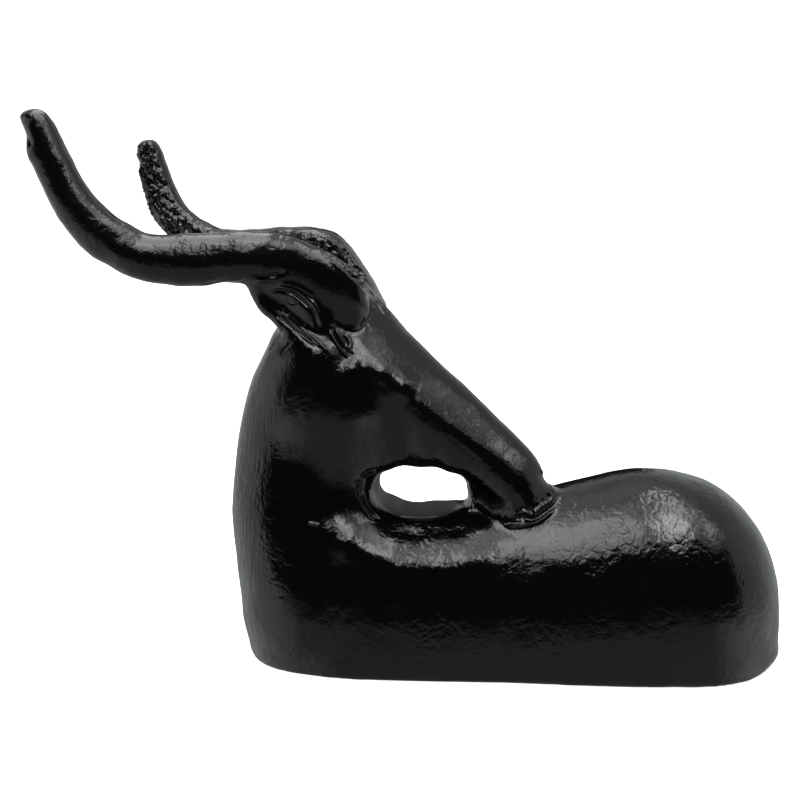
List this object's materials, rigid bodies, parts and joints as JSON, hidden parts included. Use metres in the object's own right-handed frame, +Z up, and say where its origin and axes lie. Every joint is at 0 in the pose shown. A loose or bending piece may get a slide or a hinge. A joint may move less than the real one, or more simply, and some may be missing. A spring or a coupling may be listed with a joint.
{
  "type": "deer sculpture",
  "caption": "Reclining deer in black glazed ceramic, head turned back and muzzle resting on its own back, with long S-curved horns and an opening under the jaw.",
  "frame": {"origin": "middle of the flat underside, on the surface that the figure stands on", "axes": "+X runs from the chest to the rump, -Y is the side that the head turns towards, and +Z is up"},
  "size_m": [0.2571, 0.0992, 0.189],
  "materials": {
    "black_glaze": "black gloss glaze over hand-worked clay"
  },
  "bodies": {
    "root": {"deer": "black_glaze"}
  },
  "joints": []
}
